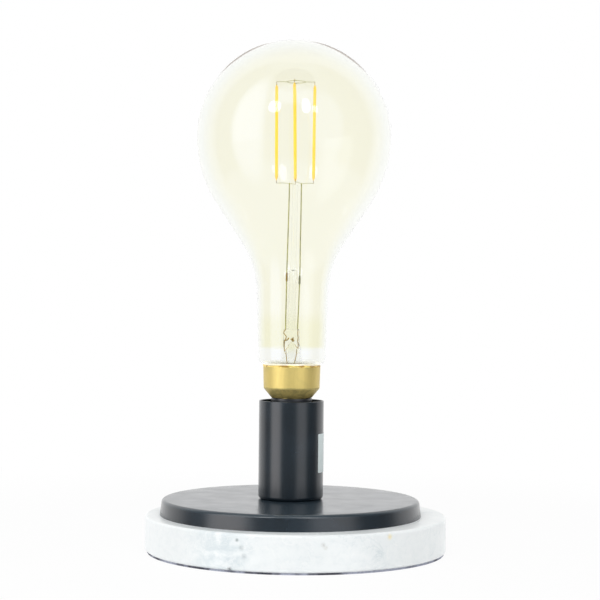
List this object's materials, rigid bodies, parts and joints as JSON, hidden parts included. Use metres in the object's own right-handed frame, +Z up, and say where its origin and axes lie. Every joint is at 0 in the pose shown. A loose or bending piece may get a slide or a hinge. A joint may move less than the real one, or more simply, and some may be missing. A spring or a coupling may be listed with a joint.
{
  "type": "table lamp",
  "caption": "Table lamp with a marble disc, a round black plate and a black socket cup, holding a giant pear-shaped filament bulb that screws in.",
  "frame": {"origin": "middle of the underside of the base pad, on the table", "axes": "+Z up along the lamp, -Y towards the viewer at the front, +X to the viewer's right; the cord's inlet is at +Y"},
  "size_m": [0.246, 0.246, 0.4197],
  "materials": {
    "pad": "matte",
    "marble": "polished",
    "black_gloss": "gloss",
    "black_satin": "satin",
    "label": "matte",
    "steel": "satin",
    "brass": "satin",
    "white_plastic": "matte",
    "black_plastic": "gloss",
    "red_brown_lead": "matte",
    "blue_lead": "matte",
    "porcelain": "gloss",
    "black_glass": "gloss",
    "solder": "satin",
    "cement": "matte",
    "amber_glass": "polished",
    "clear_glass": "polished",
    "filament": "matte",
    "wire": "satin",
    "splice_brown": "satin",
    "splice_olive": "satin",
    "board": "satin"
  },
  "bodies": {
    "lamp_base": {"base_pad": "pad", "marble_base": "marble", "cord_bush": "black_plastic", "base_plate": "black_gloss", "plate_spacer": "steel", "socket_cup": "black_satin", "blank_label": "label", "threaded_nipple": "steel", "nipple_bush": "white_plastic", "penny_washer": "steel", "toothed_washer": "steel", "nipple_nut": "steel", "cup_nut": "steel", "terminal_block": "white_plastic", "block_tubes": "brass", "block_screws": "steel", "block_fixing_screw": "steel", "live_lead": "red_brown_lead", "neutral_lead": "blue_lead", "holder_cap": "black_plastic", "grub_screw": "steel", "holder_core": "porcelain", "holder_sleeve": "black_plastic", "screw_shell": "brass", "shell_rivets": "brass", "live_terminal": "brass", "neutral_terminal": "brass", "terminal_screws": "steel", "contact_spring": "steel"},
    "contact_plunger": {"centre_contact": "brass", "contact_clip": "steel"},
    "bulb_tip": {"cap_eyelet": "solder"},
    "bulb": {"cap_shell": "brass", "cap_insulator": "black_glass", "cap_skirt": "brass", "cap_cement": "cement", "glass_bulb": "amber_glass", "stem_flare": "clear_glass", "exhaust_tip": "clear_glass", "stem_tube": "clear_glass", "stem_rod": "clear_glass", "lead_wire_left": "wire", "lead_wire_right": "wire", "splice_left": "splice_brown", "splice_right": "splice_olive", "link_left": "wire", "link_right": "wire", "filament_left": "filament", "filament_right": "filament", "filament_front": "filament", "filament_back": "filament", "top_ring": "wire", "driver_board": "board", "driver_capacitor": "black_plastic", "driver_inductor": "black_plastic", "driver_rectifier": "black_plastic", "board_lead_left": "wire", "board_lead_right": "wire", "eyelet_lead": "wire", "side_wire": "wire"}
  },
  "joints": [
    {"name": "bulb_rise", "type": "slide", "parent": "lamp_base", "child": "bulb_tip", "axis": [0, 0, 1], "range_m": [0, 0.01452]},
    {"name": "bulb_turn", "type": "hinge", "parent": "bulb_tip", "child": "bulb", "pos_m": [-0.0044, 0, 0.1258], "axis": [0, 0, 1], "range_deg": [0, 1440]},
    {"name": "contact_press", "type": "slide", "parent": "lamp_base", "child": "contact_plunger", "axis": [0, 0, 1], "range_m": [-0.0015, 0], "stiffness_N_per_m": 2000, "springref_m": 0.0015, "deforming": ["contact_spring"]}
  ],
  "couplings": [
    {"joint": "bulb_rise", "follows": "bulb_turn", "m_per_rad": 0.00057757}
  ]
}
